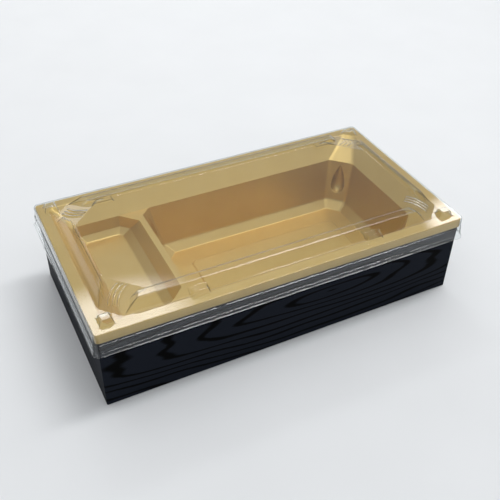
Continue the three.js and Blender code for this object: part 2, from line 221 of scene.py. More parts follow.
@dataclass(frozen=True)
class GrainFilm(Finish):
    """Printed polystyrene film, calendered: black cathedral grain on blue-black, under a satin gloss."""

    name: str = "wood_grain_printed_film"
    ground: str = "#1B1F27"
    figure: str = "#050606"
    roughness_from: float = 0.4
    roughness_to: float = 0.52
    # The flame's middle and half the way round to its next one
    flame_place_mm: tuple[float, float] = (28.0, 34.0)
    flame_reach_mm: float = 196.0
    # Length and height of each ring in the flame, of the waves in the rings and of the fine pores
    ring_mm: tuple[float, float] = (32.0, 4.8)
    wave_mm: tuple[float, float] = (90.0, 14.0)
    pore_mm: tuple[float, float] = (14.0, 0.5)
    half_ring: float = 0.5
    wave_share: float = 2.2
    wave_detail: float = 1.0
    wave_roughness: float = 0.3
    pore_share: float = 0.12
    pore_detail: float = 2.0
    line_from: float = 0.12
    line_to: float = 0.24
    emboss: float = 0.12
    emboss_depth_mm: float = 0.02
    shine: float = 0.015

    def surface(self, add: AddNode) -> Node:
        """Add the film's nodes.

        Args:
            add: Adds a node to the material.

        Returns:
            The shader.
        """
        wrap = add("ShaderNodeUVMap", uv_map="wrap")
        split = add("ShaderNodeSeparateXYZ", {"Vector": wrap})
        along, across = (
            add("ShaderNodeMath", {0: way, 1: place * MM}, operation="SUBTRACT")
            for way, place in zip(split.outputs, self.flame_place_mm)
        )
        reach = self.flame_reach_mm * MM
        around = add("ShaderNodeMath", {0: along, 1: reach, 2: -reach}, operation="WRAP")
        from_middle = add("ShaderNodeCombineXYZ", {"X": around, "Y": across})
        sizes = ((from_middle, self.ring_mm), (wrap, self.wave_mm), (wrap, self.pore_mm))
        in_rings, in_waves, in_pores = (
            add("ShaderNodeMapping", {"Vector": way, "Scale": (1 / (length * MM), 1 / (height * MM), 1.0)})
            for way, (length, height) in sizes
        )
        flame = add("ShaderNodeVectorMath", {0: in_rings}, operation="LENGTH").outputs["Value"]
        drift = add(
            "ShaderNodeTexNoise",
            {"Vector": in_waves, "Scale": 1.0, "Detail": self.wave_detail, "Roughness": self.wave_roughness},
        )
        pore = add("ShaderNodeTexNoise", {"Vector": in_pores, "Scale": 1.0, "Detail": self.pore_detail})
        ring = add("ShaderNodeMath", {0: drift, 1: self.wave_share, 2: flame}, operation="MULTIPLY_ADD")
        wave = add("ShaderNodeMath", {0: ring, 1: self.half_ring}, operation="PINGPONG")
        ragged = add("ShaderNodeMath", {0: pore, 1: self.pore_share, 2: wave}, operation="MULTIPLY_ADD")
        mask = add(
            "ShaderNodeMapRange",
            {"Value": ragged, "From Min": self.line_from, "From Max": self.line_to},
            interpolation_type="SMOOTHSTEP",
        )
        colours = {"Factor": mask, COLOUR_A: linear(self.figure), COLOUR_B: linear(self.ground)}
        gloss = {"Value": pore, "To Min": self.roughness_from, "To Max": self.roughness_to}
        relief = {"Strength": self.emboss, "Distance": self.emboss_depth_mm * MM, "Height": ragged}
        return add(
            "ShaderNodeBsdfPrincipled",
            {
                "Base Color": add("ShaderNodeMix", colours, data_type="RGBA").outputs[COLOUR_OUT],
                "Roughness": add("ShaderNodeMapRange", gloss),
                "Normal": add("ShaderNodeBump", relief),
                "Specular IOR Level": self.shine,
            },
        )


@dataclass(frozen=True)
class FoamBoard(Finish):
    """Black expanded polystyrene board, cut: matt, with fine cells that show as a grey speckle."""

    name: str = "black_foam_board"
    cell_wall: str = "#2A2B2E"
    cell: str = "#131416"
    # Real cells are about 0.3 mm wide and are drawn wider, so that they show
    cell_mm: float = 0.8
    relief: float = 0.4
    relief_mm: float = 0.08
    roughness: float = 0.78

    def surface(self, add: AddNode) -> Node:
        """Add the board's nodes.

        Args:
            add: Adds a node to the material.

        Returns:
            The shader.
        """
        place = add("ShaderNodeTexCoord").outputs["Object"]
        cells = add("ShaderNodeTexVoronoi", {"Vector": place, "Scale": 1 / (self.cell_mm * MM)})
        colours = {"Factor": cells, COLOUR_A: linear(self.cell), COLOUR_B: linear(self.cell_wall)}
        relief = {"Strength": self.relief, "Distance": self.relief_mm * MM, "Height": cells}
        return add(
            "ShaderNodeBsdfPrincipled",
            {
                "Base Color": add("ShaderNodeMix", colours, data_type="RGBA").outputs[COLOUR_OUT],
                "Roughness": self.roughness,
                "Normal": add("ShaderNodeBump", relief),
            },
        )


@dataclass(frozen=True)
class ClearSheet(Finish):
    """Oriented polystyrene sheet, vacuum formed: clear and glossy, with the faint waves of a drawn sheet."""

    name: str = "clear_polystyrene_sheet"
    tint: str = "#F7FAFA"
    ior: float = 1.42
    roughness: float = 0.015
    wave_mm: float = 18.0
    wave_detail: float = 1.0
    wave_strength: float = 0.3
    wave_depth_mm: float = 0.012

    def surface(self, add: AddNode) -> Node:
        """Add the clear sheet's nodes. Lamps shine straight through it, so that the tray below is lit.

        Args:
            add: Adds a node to the material.

        Returns:
            The shader.
        """
        place = add("ShaderNodeTexCoord").outputs["Object"]
        wave = add(
            "ShaderNodeTexNoise",
            {"Vector": place, "Scale": 1 / (self.wave_mm * MM), "Detail": self.wave_detail},
        )
        relief = {"Strength": self.wave_strength, "Distance": self.wave_depth_mm * MM, "Height": wave}
        sheet = add(
            "ShaderNodeBsdfPrincipled",
            {
                "Base Color": linear(self.tint),
                "Roughness": self.roughness,
                "IOR": self.ior,
                "Transmission Weight": 1.0,
                "Normal": add("ShaderNodeBump", relief),
            },
        )
        open_sheet = add("ShaderNodeBsdfTransparent", {"Color": linear(self.tint)})
        lamp_ray = add("ShaderNodeLightPath").outputs["Is Shadow Ray"]
        return add("ShaderNodeMixShader", {0: lamp_ray, 1: sheet, 2: open_sheet})


@dataclass(frozen=True)
class BackdropCard(Finish):
    """Pale matt card under the box, with the faint mottling of uncoated paper."""

    name: str = "pale_backdrop_card"
    pale: str = "#E1E3E5"
    deep: str = "#DCDEE0"
    mottle_mm: float = 60.0
    roughness: float = 0.7

    def surface(self, add: AddNode) -> Node:
        """Add the card's nodes.

        Args:
            add: Adds a node to the material.

        Returns:
            The shader.
        """
        place = add("ShaderNodeTexCoord").outputs["Object"]
        mottle = add("ShaderNodeTexNoise", {"Vector": place, "Scale": 1 / (self.mottle_mm * MM)})
        colours = {"Factor": mottle, COLOUR_A: linear(self.pale), COLOUR_B: linear(self.deep)}
        colour = add("ShaderNodeMix", colours, data_type="RGBA").outputs[COLOUR_OUT]
        return add("ShaderNodeBsdfPrincipled", {"Base Color": colour, "Roughness": self.roughness})


# Shapes


@dataclass(frozen=True)
class Plan:
    """An eight-sided outline at one height: a rectangle whose west and east corners are cut."""

    # Places among the corners of the two ends of each cut
    CUTS: ClassVar = {(1, -1): (1, 2), (1, 1): (3, 4), (-1, 1): (5, 6), (-1, -1): (7, 0)}

    west: float
    east: float
    half_width: float
    height: float
    cut_west: float
    cut_east: float

    @classmethod
    def centred(cls, half_length: float, half_width: float, height: float, cut: float) -> "Plan":
        """Make a plan that is alike at both ends."""
        return cls(-half_length, half_length, half_width, height, cut, cut)

    def shrunk(
        self, by: float, height: float, cut_west: float, cut_east: float, east_by: float | None = None
    ) -> "Plan":
        """Make a smaller plan at another height.

        Args:
            by: How far every side moves in.
            height: The new plan's height.
            cut_west: Its cut at the west corners.
            cut_east: Its cut at the east corners.
            east_by: How far the east side moves in, where that differs.

        Returns:
            The smaller plan.
        """
        east = self.east - (by if east_by is None else east_by)
        return Plan(self.west + by, east, self.half_width - by, height, cut_west, cut_east)

    def corners(self) -> list[Vector]:
        """Give the eight corners.

        Returns:
            The corners, counter-clockwise from the front side's west end.
        """
        x_west, y_west = self.west + self.cut_west, self.half_width - self.cut_west
        x_east, y_east = self.east - self.cut_east, self.half_width - self.cut_east
        flat = (
            (x_west, -self.half_width),
            (x_east, -self.half_width),
            (self.east, -y_east),
            (self.east, y_east),
            (x_east, self.half_width),
            (x_west, self.half_width),
            (self.west, y_west),
            (self.west, -y_west),
        )
        return [Vector((x, y, self.height)) for x, y in flat]

    def cut_middle(self, corner: Corner) -> Vector:
        """Give the middle of the cut at a corner."""
        start, end = (self.corners()[place] for place in self.CUTS[corner])
        return start.lerp(end, 0.5)


def each_once(parts: Iterable[Any]) -> list[Any]:
    """Give mesh parts once each, in the order in which they come."""
    return list(dict.fromkeys(parts))


def rounding_cut(radius: float) -> float:
    """Give the corner cut that two rounded edges turn into a corner of that radius."""
    return radius * (2 - math.sqrt(2))


@dataclass(frozen=True)
class Block:
    """A block that stands up from a sheet: a rectangle, the height of its foot and its top, and its lean."""

    west: float
    east: float
    south: float
    north: float
    foot: float
    top: float
    lean: float

    def planes(self) -> list[tuple[Vector, float]]:
        """Give the planes that bound the block.

        Returns:
            The normal and the distance of each.
        """
        east, north = Vector((1, 0, 0)), Vector((0, 1, 0))
        sides = [(east, self.west), (east, self.east), (north, self.south), (north, self.north)]
        return [*sides, (UP, self.top)]

    def holds(self, point: Vector) -> bool:
        """Tell whether a point is inside the block."""
        across = self.west < point.x < self.east and self.south < point.y < self.north
        return across and self.foot - MouldedSheet.SAME_POINT < point.z < self.top

    def overlaps(self, face: BMFace) -> bool:
        """Tell whether a face may reach into the block.

        Args:
            face: The face to look at.

        Returns:
            Whether it may, which a face that leans to either end never does.
        """
        if abs(face.normal.x) > MouldedSheet.SAME_POINT:
            return False
        xs, ys, zs = zip(*(corner.co for corner in face.verts))
        across = min(xs) < self.east and max(xs) > self.west and min(ys) < self.north and max(ys) > self.south
        return across and min(zs) > self.foot - MouldedSheet.SAME_POINT and min(zs) < self.top

    def lifted(self, point: Vector) -> Vector:
        """Give the place on the block's top above a point of its foot.

        Args:
            point: A point of the foot.

        Returns:
            The place above it, moved in by the lean.
        """
        x = min(max(point.x, self.west + self.lean), self.east - self.lean)
        y = min(max(point.y, self.south + self.lean), self.north - self.lean)
        return Vector((x, y, self.top))

    def owns(self, edge: BMEdge) -> bool:
        """Tell whether a whole edge is on the block.

        Args:
            edge: The edge to look at.

        Returns:
            Whether both its ends are.
        """
        slack = MouldedSheet.SAME_POINT
        return all(
            self.west - slack < corner.co.x < self.east + slack
            and self.south - slack < corner.co.y < self.north + slack
            and self.foot - slack < corner.co.z < self.top + slack
            for corner in edge.verts
        )


@dataclass(frozen=True)
class TurnedForm:
    """Half a turned form that is pressed into or out of a flat face.

    Its profile runs from the foot along an axis in the face, and it is turned half a circle, from the side
    given to the opposite one. The shoulder is a soft edge round it, and the sway bends its axis sideways.
    """

    # How far up the form the place is that its shoulder spreads from
    HEART: ClassVar[float] = 0.4

    foot: Vector
    along: Vector
    aside: Vector
    profile: list[Vector]
    steps: int
    shoulder: float = 0.0
    shoulder_drop: float = 0.0
    sway: Callable[[float], float] | None = None


class MouldedSheet:
    """A thin sheet that is shaped as one open surface, its upper side outwards."""

    CREASE = math.radians(4)
    SAME_POINT = 0.001
    NEAR = 0.01
    # Square millimetres below which a face is a sliver that a fill has left
    SLIVER = 0.0005
    # How many strips a small and a larger rounding have
    FEW_STRIPS = 3
    MORE_STRIPS = 4

    def __init__(self) -> None:
        """Start an empty surface."""
        self.mesh: BMesh = bmesh.new()

    def start(self, points: list[Vector]) -> BMFace:
        """Add the face that closes the first outline."""
        corners = [self.mesh.verts.new(point) for point in points]
        return bmesh.ops.contextual_create(self.mesh, geom=corners)["faces"][0]

    def sink(self, face: BMFace, outlines: list[list[Vector]]) -> BMFace:
        """Extrude a face from outline to outline.

        Args:
            face: A face whose corners are those of the first outline.
            outlines: The outlines that the face goes through, each with as many points as the one before.

        Returns:
            The face at the last outline.
        """
        for old, new in zip(outlines, outlines[1:]):
            face = bmesh.ops.extrude_discrete_faces(self.mesh, faces=[face])["faces"][0]
            for corner in face.verts:
                nearest = min(range(len(old)), key=lambda place: (old[place] - corner.co).length)
                corner.co = new[nearest]
        return face

    def cut(self, axis: Vector, distance: float, faces: list[BMFace]) -> list[BMFace]:
        """Cut some faces along a plane.

        Args:
            axis: The plane's normal.
            distance: The plane's distance from the origin along it.
            faces: The faces to cut.

        Returns:
            The faces and the parts that they are cut into.
        """
        edges = each_once(edge for face in faces for edge in face.edges)
        corners = each_once(corner for face in faces for corner in face.verts)
        parts = bmesh.ops.bisect_plane(
            self.mesh, geom=[*corners, *edges, *faces], plane_co=axis * distance, plane_no=axis
        )["geom"]
        return [part for part in parts if isinstance(part, BMFace)]

    def raise_block(self, block: Block) -> None:
        """Raise a block with leaning sides out of the surface.

        Args:
            block: Where the block stands, how high it is and how far its sides lean in.
        """
        self.mesh.normal_update()
        faces = [face for face in self.mesh.faces if block.overlaps(face)]
        for axis, distance in block.planes():
            faces = self.cut(axis, distance, faces)
        under = [face for face in faces if block.holds(face.calc_center_median())]
        made = bmesh.ops.extrude_face_region(self.mesh, geom=under)["geom"]
        bmesh.ops.delete(self.mesh, geom=[face for face in under if face.is_valid], context="FACES")
        for corner in made:
            if isinstance(corner, BMVert) and corner.co.z < block.top - self.SAME_POINT:
                corner.co = block.lifted(corner.co)
        bmesh.ops.remove_doubles(self.mesh, verts=self.mesh.verts, dist=self.SAME_POINT)

    def turn(self, form: TurnedForm) -> list[BMEdge]:
        """Turn a form.

        Args:
            form: The form to turn.

        Returns:
            The edges round its opening.
        """
        others = set(self.mesh.faces)
        points = [form.foot + form.aside * out + form.along * up for out, up in form.profile]
        corners = [self.mesh.verts.new(point) for point in points]
        edges = [self.mesh.edges.new(pair) for pair in zip(corners, corners[1:])]
        line = [*corners, *edges]
        bmesh.ops.spin(
            self.mesh, geom=line, cent=form.foot, axis=form.along, angle=math.pi, steps=form.steps
        )
        turned = [face for face in self.mesh.faces if face not in others]
        corners = each_once(corner for face in turned for corner in face.verts)
        bmesh.ops.remove_doubles(self.mesh, verts=corners, dist=self.SAME_POINT)
        made = [face for face in self.mesh.faces if face not in others]
        for face in made:
            face.smooth = True
        if form.sway:
            for corner in each_once(corner for face in made for corner in face.verts):
                corner.co += form.aside * form.sway((corner.co - form.foot).dot(form.along))
        lip = each_once(edge for face in made for edge in face.edges if edge.is_boundary)
        return self.soften(form, lip) if form.shoulder else lip

    def soften(self, form: TurnedForm, lip: list[BMEdge]) -> list[BMEdge]:
        """Add a soft shoulder round a form.

        Args:
            form: The form, which is already turned.
            lip: The edges round its opening.

        Returns:
            The edges round the shoulder.
        """
        heart = form.foot + form.along * form.profile[-1].y * form.HEART
        drop = form.along.cross(form.aside) * form.shoulder_drop
        shoulder = bmesh.ops.extrude_edge_only(self.mesh, edges=lip)["geom"]
        for corner in each_once(corner for edge in lip for corner in edge.verts):
            corner.co += drop
        for corner in shoulder:
            if isinstance(corner, BMVert):
                corner.co += (corner.co - heart).normalized() * form.shoulder
        return [edge for edge in shoulder if isinstance(edge, BMEdge) and edge.is_boundary]

    def press(self, face: BMFace, forms: list[TurnedForm]) -> None:
        """Press turned forms into a flat face.

        Args:
            face: The face, which becomes the flat between its sides and the forms.
            forms: The forms, which stay inside the face.
        """
        normal = face.normal.copy()
        rims = list(face.edges)
        bmesh.ops.delete(self.mesh, geom=[face], context="FACES_ONLY")
        for form in forms:
            rims += self.turn(form)
        bmesh.ops.triangle_fill(self.mesh, edges=rims, use_beauty=True, normal=normal)

    def round_edges(self, chosen: EdgeTest, offset: float, segments: int) -> None:
        """Round the creased edges that a test picks.

        Args:
            chosen: The test for an edge.
            offset: How far the rounding reaches to each side.
            segments: How many strips it has.
        """
        self.mesh.normal_update()
        edges = [edge for edge in self.mesh.edges if self.creased(edge) and chosen(edge)]
        made = bmesh.ops.bevel(
            self.mesh,
            geom=edges,
            offset=offset,
            offset_type="OFFSET",
            affect="EDGES",
            segments=segments,
            profile=0.5,
            material=-1,
            clamp_overlap=True,
            loop_slide=True,
        )
        for face in made["faces"]:
            face.smooth = True

    def creased(self, edge: BMEdge) -> bool:
        """Tell whether the surface bends at an edge."""
        return edge.is_manifold and edge.calc_face_angle(0.0) > self.CREASE

    def join_slivers(self) -> None:
        """Join each face of next to no area with the face across its longest edge."""
        slivers = [face for face in self.mesh.faces if face.calc_area() < self.SLIVER]
        longest = each_once(max(face.edges, key=BMEdge.calc_length) for face in slivers)
        bmesh.ops.dissolve_edges(self.mesh, edges=longest, use_verts=False)

    def face_outwards(self, height: float) -> None:
        """Turn every face the same way.

        Args:
            height: A height in the sheet's middle. The face nearest to that place looks up.
        """
        bmesh.ops.recalc_face_normals(self.mesh, faces=self.mesh.faces)
        floor = min(self.mesh.faces, key=lambda face: (face.calc_center_median() - UP * height).length)
        if floor.normal.z < 0:
            bmesh.ops.reverse_faces(self.mesh, faces=self.mesh.faces)


def is_level(edge: BMEdge) -> bool:
    """Tell whether both ends of an edge are at one height."""
    start, end = edge.verts
    return abs(start.co.z - end.co.z) < MouldedSheet.SAME_POINT


def middle_of(edge: BMEdge) -> Vector:
    """Give the middle of an edge."""
    start, end = edge.verts
    return (start.co + end.co) / 2


def is_flat_at(face: BMFace, height: float) -> bool:
    """Tell whether a whole face is at one height."""
    return all(abs(corner.co.z - height) < MouldedSheet.SAME_POINT for corner in face.verts)


def at_height(height: float) -> EdgeTest:
    """Make a test for level edges at a height."""
    return lambda edge: is_level(edge) and abs(middle_of(edge).z - height) < MouldedSheet.NEAR


def add_object(name: str, data: ID) -> Object:
    """Add an object to the scene.

    Args:
        name: Its name.
        data: Its mesh, lamp or camera.

    Returns:
        The object.
    """
    made = bpy.data.objects.new(name, data)
    bpy.context.scene.collection.objects.link(made)
    return made


def add_surface(name: str, mesh: BMesh, finish: Finish) -> Object:
    """Turn a shaped mesh into an object.

    Args:
        name: The object's name.
        mesh: Its surface.
        finish: What it is made of.

    Returns:
        The object.
    """
    data = bpy.data.meshes.new(name)
    mesh.to_mesh(data)
    mesh.free()
    data.materials.append(finish.material())
    return add_object(name, data)


def finish_piece(
    name: str, mesh: BMesh, finish: Finish, body: Body, stands_for: str, sheet: float
) -> Object:
    """Turn a surface in millimetres into a sheet in metres that stands for a CAD node.

    Args:
        name: The piece's name.
        mesh: The surface.
        finish: What it is made of.
        body: The body that it rides on.
        stands_for: The CAD node that it replaces.
        sheet: How thick the sheet is, inwards from the surface.

    Returns:
        The finished piece.
    """
    bmesh.ops.scale(mesh, vec=(MM, MM, MM), verts=mesh.verts)
    piece = add_surface(name, mesh, finish)
    wall = piece.modifiers.new("wall", "SOLIDIFY")
    wall.thickness = sheet * MM
    wall.offset = -1
    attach(piece, body.value)
    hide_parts(stands_for)
    return piece


def box_mm(node: str) -> tuple[Vector, Vector]:
    """Give a CAD node's lowest and highest corners in millimetres."""
    low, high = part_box(node)
    return low / MM, high / MM


# Board box


@dataclass
class BoardBox:
    """The box of foam boards and the printed film that is wrapped round its walls."""

    film: float = 0.4
    corner: float = 0.8
    corner_steps: int = 5
    boards: tuple[str, ...] = ("base_board", "front_wall", "rear_wall", "left_wall", "right_wall")
    board_finish: FoamBoard = field(default_factory=FoamBoard)
    film_finish: GrainFilm = field(default_factory=GrainFilm)

    def dress_boards(self) -> list[Object]:
        """Give the CAD boards the foam board's finish.

        Returns:
            The boards.
        """
        dressed = [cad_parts[name] for name in self.boards]
        for board in dressed:
            board.data.materials.clear()
            board.data.materials.append(self.board_finish.material())
        return dressed

    def wrap_film(self) -> Object:
        """Wrap the film round the walls as one strip, with its seam in the middle of the rear wall.

        Returns:
            The film.
        """
        low, high = box_mm("grain_facing")
        half_length, half_width = high.x, high.y
        mesh = bmesh.new()
        bmesh.ops.create_grid(mesh, x_segments=1, y_segments=1, size=1)
        bmesh.ops.scale(mesh, vec=(half_length, half_width, 1), verts=mesh.verts)
        bmesh.ops.translate(mesh, vec=(0, 0, low.z), verts=mesh.verts)
        bmesh.ops.delete(mesh, geom=mesh.faces[:], context="FACES_ONLY")
        bmesh.ops.bevel(
            mesh,
            geom=mesh.verts[:],
            offset=self.corner,
            offset_type="OFFSET",
            affect="VERTICES",
            segments=self.corner_steps,
            profile=0.5,
            material=-1,
        )
        rear = max(mesh.edges, key=lambda edge: middle_of(edge).y)
        bmesh.ops.subdivide_edges(mesh, edges=[rear], cuts=1)
        up = bmesh.ops.extrude_edge_only(mesh, edges=mesh.edges[:])["geom"]
        tops = [part for part in up if isinstance(part, BMVert)]
        bmesh.ops.translate(mesh, vec=(0, 0, high.z - low.z), verts=tops)
        bmesh.ops.recalc_face_normals(mesh, faces=mesh.faces)
        front = min(mesh.faces, key=lambda face: face.calc_center_median().y)
        if front.normal.y > 0:
            bmesh.ops.reverse_faces(mesh, faces=mesh.faces)
        self.lay_wrap(mesh, half_length, half_width)
        return finish_piece(
            "grain_wrap", mesh, self.film_finish, Body.BOX, "grain_facing", self.film
        )

    @staticmethod
    def lay_wrap(mesh: BMesh, half_length: float, half_width: float) -> None:
        """Give the film a map in metres: across is the way round the walls, up is the height.

        Args:
            mesh: The film's surface.
            half_length: Half the length round which it goes.
            half_width: Half the width round which it goes.
        """
        wrap = mesh.loops.layers.uv.new("wrap")
        end = half_length - MouldedSheet.NEAR

        def way_round(point: Vector, face: BMFace) -> float:
            """Measure round the walls from the middle of the front.

            Args:
                point: A corner of a face.
                face: The face.

            Returns:
                The way, leftwards negative.
            """
            side = math.copysign(1, face.calc_center_median().x)
            if abs(point.x) >= end:
                return side * (half_length + half_width + point.y)
            if point.y < 0:
                return point.x
            return side * (2 * half_length + 2 * half_width - abs(point.x))

        for face in mesh.faces:
            for loop in face.loops:
                loop[wrap].uv = (way_round(loop.vert.co, face) * MM, loop.vert.co.z * MM)

    def build(self) -> list[Object]:
        """Build and dress the whole box."""
        return [*self.dress_boards(), self.wrap_film()]


# Inner tray


@dataclass
class InnerTray:
    """The moulded tray: a rim and skirt, a sloping band, a divider and two compartments."""

    # Places among a plan's corners of the mouths' lines along the divider, from front to rear
    SIDE_LINE: ClassVar[tuple[int, ...]] = (1, 2, 3, 4)
    MAIN_LINE: ClassVar[tuple[int, ...]] = (0, 7, 6, 5)

    sheet: float = 0.6
    skirt_drop: float = 6.4
    rim_corner: float = 2.0
    rim_flat: float = 7.2
    band_depth: float = 12.1
    band_run: float = 11.9
    mouth_cut: float = 5.6
    band_cut: float = 12.8
    outer_cut: float = 2.5
    wall_draft: float = math.radians(13.7)
    main_floor: float = 13.3
    main_bevel_rise: float = 5.5
    main_bevel_run: float = 6.0
    main_wall_cut: float = 11.0
    main_floor_cut: float = 8.0
    main_divider_cut: float = 6.5
    side_length: float = 45.1
    side_depth: float = 24.0
    side_bevel_rise: float = 4.0
    side_bevel_run: float = 3.8
    side_wall_cut: float = 5.5
    side_floor_cut: float = 2.2
    side_divider_cut: float = 11.5
    divider_top: float = 4.3
    divider_side_draft: float = math.radians(38.1)
    divider_side_bevel_run: float = 5.8
    plateau_rise: float = 0.8
    plateau_end_margin: float = 12.5
    plateau_side_margin: float = 15.0
    plateau_cut: float = 3.0
    # How far round the plateau its own edges are looked for
    plateau_reach: float = 1.0
    dent_top: float = 14.5
    dent_length: float = 22.0
    dent_half_width: float = 5.0
    dent_half_width_west: float = 2.6
    # The drop's handles, in half widths
    dent_belly: float = 1.5
    dent_neck: float = 1.2
    dent_steps: int = 14
    dent_shoulder: float = 0.7
    dent_shoulder_drop: float = 0.3
    # Square millimetres below which a face is no flat for a dent
    dent_flat: float = 22.0
    # Roundings: how far each reaches to both sides of its edge
    west_rounding: float = 0.9
    divider_rounding: float = 1.1
    east_rounding: float = 2.2
    rim_rounding: float = 0.9
    mouth_rounding: float = 0.8
    band_rounding: float = 0.7
    main_rounding: float = 1.2
    plateau_foot_rounding: float = 0.35
    plateau_top_rounding: float = 0.3
    side_wall_rounding: float = 1.0
    side_floor_rounding: float = 0.9
    # Climbing edges nearer the tray's middle than this stay sharp
    sharp_reach: float = 40.0
    finish: GoldLaminate = field(default_factory=GoldLaminate)

    def __post_init__(self) -> None:
        """Take the tray's outer sizes from its CAD node and work out the plans at each height."""
        _, high = box_mm("inner_tray")
        self.half_length = high.x
        self.half_width = high.y
        self.rim_top = high.z
        band_inset = self.rim_flat + self.band_run
        self.band_foot = self.rim_top - self.band_depth
        divider_west = -self.half_length + band_inset + self.side_length
        end = self.half_length - band_inset
        half = self.half_width - band_inset
        main_bevel_top = self.main_floor + self.main_bevel_rise
        main_run = (self.band_foot - main_bevel_top) * math.tan(self.wall_draft)
        mouth = Plan(
            divider_west + self.divider_top, end, half, self.band_foot, self.main_divider_cut, self.band_cut
        )
        wall = mouth.shrunk(main_run, main_bevel_top, self.main_divider_cut, self.main_wall_cut)
        floor = wall.shrunk(self.main_bevel_run, self.main_floor, self.main_divider_cut, self.main_floor_cut)
        plateau = Plan(
            floor.west + self.plateau_end_margin,
            floor.east - self.plateau_end_margin,
            floor.half_width - self.plateau_side_margin,
            self.main_floor,
            self.plateau_cut,
            self.plateau_cut,
        )
        plateau_top = plateau.shrunk(
            self.plateau_rise, self.main_floor + self.plateau_rise, self.plateau_cut, self.plateau_cut
        )
        self.main_plans = [mouth, wall, floor, plateau, plateau_top]
        side_floor = self.rim_top - self.side_depth
        side_bevel_top = side_floor + self.side_bevel_rise
        drop = self.band_foot - side_bevel_top
        side_mouth = Plan(-end, divider_west, half, self.band_foot, self.outer_cut, self.side_divider_cut)
        side_wall = side_mouth.shrunk(
            drop * math.tan(self.wall_draft),
            side_bevel_top,
            self.outer_cut,
            self.side_wall_cut,
            drop * math.tan(self.divider_side_draft),
        )
        side_base = side_wall.shrunk(
            self.side_bevel_run, side_floor, self.outer_cut, self.side_floor_cut, self.divider_side_bevel_run
        )
        self.side_plans = [side_mouth, side_wall, side_base]

    def shape_rim(self, tray: MouldedSheet) -> BMFace:
        """Shape the skirt, the rim and the band.

        Args:
            tray: The surface to add to.

        Returns:
            The face that closes the foot of the band.
        """
        corner = rounding_cut(self.rim_corner)
        skirt = Plan.centred(self.half_length, self.half_width, self.rim_top - self.skirt_drop, corner)
        edge = Plan.centred(self.half_length, self.half_width, self.rim_top, corner)
        mouth = edge.shrunk(self.rim_flat, self.rim_top, self.outer_cut, self.mouth_cut)
        foot = mouth.shrunk(self.band_run, self.band_foot, self.outer_cut, self.band_cut)
        outlines = [plan.corners() for plan in (skirt, edge, mouth, foot)]
        return tray.sink(tray.start(outlines[0]), outlines)

    def part_mouths(self, tray: MouldedSheet, foot: BMFace) -> tuple[BMFace, BMFace]:
        """Part the foot of the band into the two mouths and the divider between them.

        Args:
            tray: The surface to part.
            foot: The face at the foot of the band.

        Returns:
            The side compartment's and the main compartment's mouth.
        """
        faces = [foot]
        for plan, places in ((self.side_plans[0], self.SIDE_LINE), (self.main_plans[0], self.MAIN_LINE)):
            line = [plan.corners()[place] for place in places]
            ends = []
            for point in (line[0], line[-1]):
                edge = min(
                    (edge for edge in faces[-1].edges if abs(middle_of(edge).y - point.y) < tray.SAME_POINT),
                    key=lambda edge: abs(middle_of(edge).x - point.x),
                )
                start, end = edge.verts
                share = (point.x - start.co.x) / (end.co.x - start.co.x)
                ends.append(bmesh.utils.edge_split(edge, start, share)[1])
            whole = faces.pop()
            made, _ = bmesh.utils.face_split(whole, ends[0], ends[1], coords=line[1:-1])
            faces += sorted((whole, made), key=lambda face: face.calc_center_median().x)
        return faces[0], faces[-1]

    def round_off(self, tray: MouldedSheet) -> None:
        """Round the climbing edges first, and then each level edge by itself.

        Args:
            tray: The surface to round.
        """
        west_end = -self.half_length + self.rim_flat + self.band_run + 2 * self.outer_cut
        skirt_edge = self.half_width - self.rim_flat / 2
        end_edge = self.half_length - self.rim_flat / 2
        mouth, wall, floor, plateau, plateau_top = self.main_plans
        _, side_wall, side_floor = self.side_plans
        around = plateau.shrunk(-self.plateau_reach, plateau.height, self.plateau_cut, self.plateau_cut)

        def on_skirt(edge: BMEdge) -> bool:
            """Tell whether an edge is on the skirt."""
            middle = middle_of(edge)
            return abs(middle.x) > end_edge or abs(middle.y) > skirt_edge

        def on_plateau(edge: BMEdge) -> bool:
            """Tell whether an edge is at the plateau's foot."""
            middle = middle_of(edge)
            return around.west < middle.x < around.east and abs(middle.y) < around.half_width

        def climbs(low: float, high: float) -> EdgeTest:
            """Make a test for climbing edges inside the skirt, from one end to another along the tray."""
            return lambda edge: not is_level(edge) and not on_skirt(edge) and low < middle_of(edge).x < high

        at_rim, on_floor = at_height(self.rim_top), at_height(floor.height)
        few, more = tray.FEW_STRIPS, tray.MORE_STRIPS
        # Each corner of the skirt is two turns of 45 degrees, and each is rounded by half its turn
        skirt_offset = self.rim_corner * math.tan(math.pi / 8)
        for chosen, offset, strips in (
            (lambda edge: not is_level(edge) and on_skirt(edge), skirt_offset, few),
            (climbs(-self.half_length, west_end), self.west_rounding, few),
            (climbs(west_end, -self.sharp_reach), self.divider_rounding, few),
            (climbs(self.sharp_reach, self.half_length), self.east_rounding, more),
            (lambda edge: at_rim(edge) and on_skirt(edge), self.rim_rounding, more),
            (lambda edge: at_rim(edge) and not on_skirt(edge), self.mouth_rounding, few),
            (at_height(mouth.height), self.band_rounding, few),
            (at_height(wall.height), self.main_rounding, more),
            (lambda edge: on_floor(edge) and not on_plateau(edge), self.main_rounding, more),
            (lambda edge: on_floor(edge) and on_plateau(edge), self.plateau_foot_rounding, few),
            (at_height(plateau_top.height), self.plateau_top_rounding, few),
            (at_height(side_wall.height), self.side_wall_rounding, few),
            (at_height(side_floor.height), self.side_floor_rounding, few),
        ):
            tray.round_edges(chosen, offset, strips)

